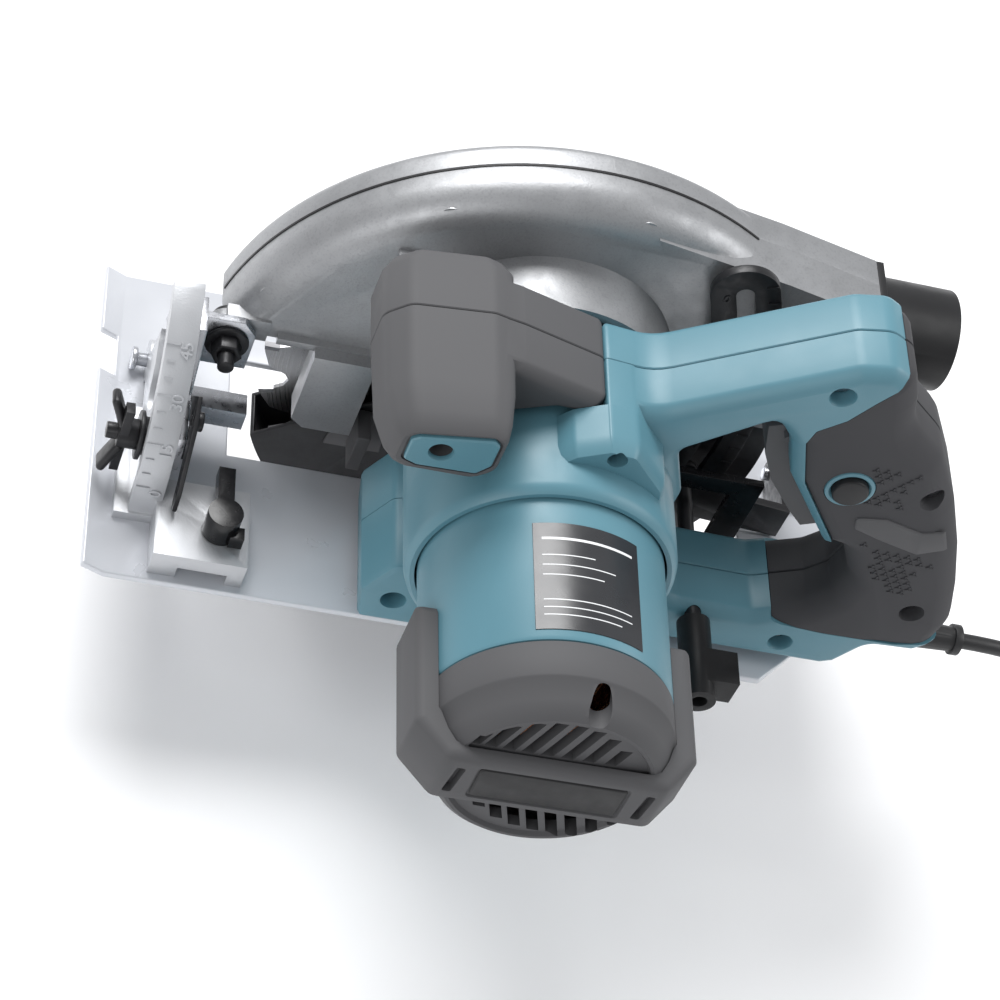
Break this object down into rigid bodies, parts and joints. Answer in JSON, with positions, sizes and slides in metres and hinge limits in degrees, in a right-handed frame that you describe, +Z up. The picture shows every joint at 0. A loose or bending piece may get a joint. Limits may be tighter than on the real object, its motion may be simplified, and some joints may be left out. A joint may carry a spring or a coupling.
{
  "type": "corded circular saw",
  "caption": "Corded hand-held circular saw with a tilting sole, a depth guide, a sprung lower blade guard, a closed rear handle and a side motor.",
  "frame": {"origin": "the plane of the sole's underside, under the arbor, in the blade's middle plane", "axes": "+X towards the rear of the saw, +Y away from the motor on the blade's outer side, +Z up"},
  "size_m": [0.5236, 0.305, 0.2375],
  "materials": {
    "teal_plastic": "satin",
    "charcoal_plastic": "matt",
    "grip_rubber": "matt",
    "black_plastic": "gloss",
    "cast_guard": "satin",
    "zinc_steel": "zinc plated",
    "sole_steel": "satin",
    "black_steel": "satin",
    "blade_steel": "brushed",
    "carbide": "ground",
    "copper": "bright",
    "motor_iron": "varnished",
    "cord_rubber": "matt",
    "label": "satin"
  },
  "bodies": {
    "base": {"base_plate": "sole_steel", "front_quadrant": "cast_guard", "base_rivets": "zinc_steel", "rear_pivot_bracket": "zinc_steel", "tilt_pins": "zinc_steel"},
    "fence_lock": {"fence_lock_lever": "black_plastic"},
    "tilt_frame": {"front_tilt_bracket": "zinc_steel", "tilt_clamp_bolt": "black_steel", "tilt_pointer": "black_steel", "tilt_pointer_screw": "black_steel", "depth_guide": "black_steel", "depth_pivot_bolt": "black_steel"},
    "wing_nut": {"wing_nut": "black_plastic"},
    "saw_body": {"upper_guard": "cast_guard", "guard_cover": "cast_guard", "guard_screws": "zinc_steel", "dust_outlet": "charcoal_plastic", "ball_bearings": "zinc_steel", "bearing_retainer": "zinc_steel", "guard_return_spring": "zinc_steel", "handle_shell_far": "teal_plastic", "handle_shell_near": "teal_plastic", "grip_far": "grip_rubber", "grip_near": "grip_rubber", "handle_screws": "zinc_steel", "pommel_far": "charcoal_plastic", "pommel_near": "charcoal_plastic", "pommel_inset": "teal_plastic", "motor_can": "teal_plastic", "motor_end_cap": "charcoal_plastic", "end_cap_bumper": "grip_rubber", "rating_plate": "label", "stator_core": "motor_iron", "field_windings": "copper", "brush_gear": "charcoal_plastic", "switch_module": "charcoal_plastic", "depth_clamp_rod": "zinc_steel", "strain_relief": "grip_rubber", "power_cord": "cord_rubber", "cord_coil": "cord_rubber", "coil_tie": "black_plastic", "plug": "black_plastic"},
    "blade": {"spindle": "zinc_steel", "drive_gear": "zinc_steel", "inner_flange": "zinc_steel", "outer_flange": "zinc_steel", "blade_bolt": "zinc_steel", "saw_blade": "blade_steel", "carbide_teeth": "carbide"},
    "armature": {"armature_shaft": "zinc_steel", "armature_core": "motor_iron", "armature_windings": "copper", "commutator": "copper", "cooling_fan": "charcoal_plastic"},
    "lower_guard": {"lower_guard": "black_steel", "guard_lever": "black_steel"},
    "trigger": {"trigger": "charcoal_plastic"},
    "lock_off": {"lock_off_button": "black_plastic"},
    "spindle_lock": {"spindle_lock": "black_steel"},
    "depth_lock": {"depth_lock_lever": "black_plastic"}
  },
  "joints": [
    {"name": "bevel_tilt", "type": "hinge", "parent": "base", "child": "tilt_frame", "pos_m": [0, 0.004, 0.008], "axis": [-1, 0, 0], "range_deg": [0, 45]},
    {"name": "tilt_wing_nut_turn", "type": "hinge", "parent": "tilt_frame", "child": "wing_nut", "pos_m": [-0.142, -0.04845, 0.02761], "axis": [-1, 0, 0], "range_deg": [-90, 90]},
    {"name": "fence_lock_turn", "type": "hinge", "parent": "base", "child": "fence_lock", "pos_m": [-0.105, -0.076, 0.02], "axis": [0, 0, 1], "range_deg": [-90, 30]},
    {"name": "depth_pivot", "type": "hinge", "parent": "tilt_frame", "child": "saw_body", "pos_m": [-0.1135, -0.02, 0.055], "axis": [0, -1, 0], "range_deg": [0, 33]},
    {"name": "blade_spin", "type": "hinge", "parent": "saw_body", "child": "blade", "pos_m": [0, -0.01, 0.034], "axis": [0, 1, 0], "continuous": true},
    {"name": "armature_spin", "type": "hinge", "parent": "saw_body", "child": "armature", "pos_m": [-0.005, -0.1, 0.0757], "axis": [0, 1, 0], "continuous": true},
    {"name": "lower_guard_swing", "type": "hinge", "parent": "saw_body", "child": "lower_guard", "pos_m": [0, -0.01, 0.034], "axis": [0, -1, 0], "range_deg": [0, 104], "stiffness_Nm_per_rad": 0.2, "springref_deg": -68.75},
    {"name": "trigger_pull", "type": "hinge", "parent": "saw_body", "child": "trigger", "pos_m": [0.0715, -0.067, 0.121], "axis": [0, -1, 0], "range_deg": [0, 8], "stiffness_Nm_per_rad": 0.6, "springref_deg": -8.59},
    {"name": "lock_off_push", "type": "slide", "parent": "saw_body", "child": "lock_off", "axis": [0, 1, 0], "range_m": [0, 0.003], "stiffness_N_per_m": 600, "springref_m": -0.001},
    {"name": "spindle_lock_push", "type": "slide", "parent": "saw_body", "child": "spindle_lock", "axis": [-1, 0, 0], "range_m": [0, 0.003], "stiffness_N_per_m": 800, "springref_m": -0.001},
    {"name": "depth_lock_turn", "type": "hinge", "parent": "saw_body", "child": "depth_lock", "pos_m": [0.07, -0.1, 0.027], "axis": [0, -1, 0], "range_deg": [-20, 60]}
  ],
  "couplings": [
    {"joint": "armature_spin", "follows": "blade_spin", "ratio": -4.6}
  ]
}
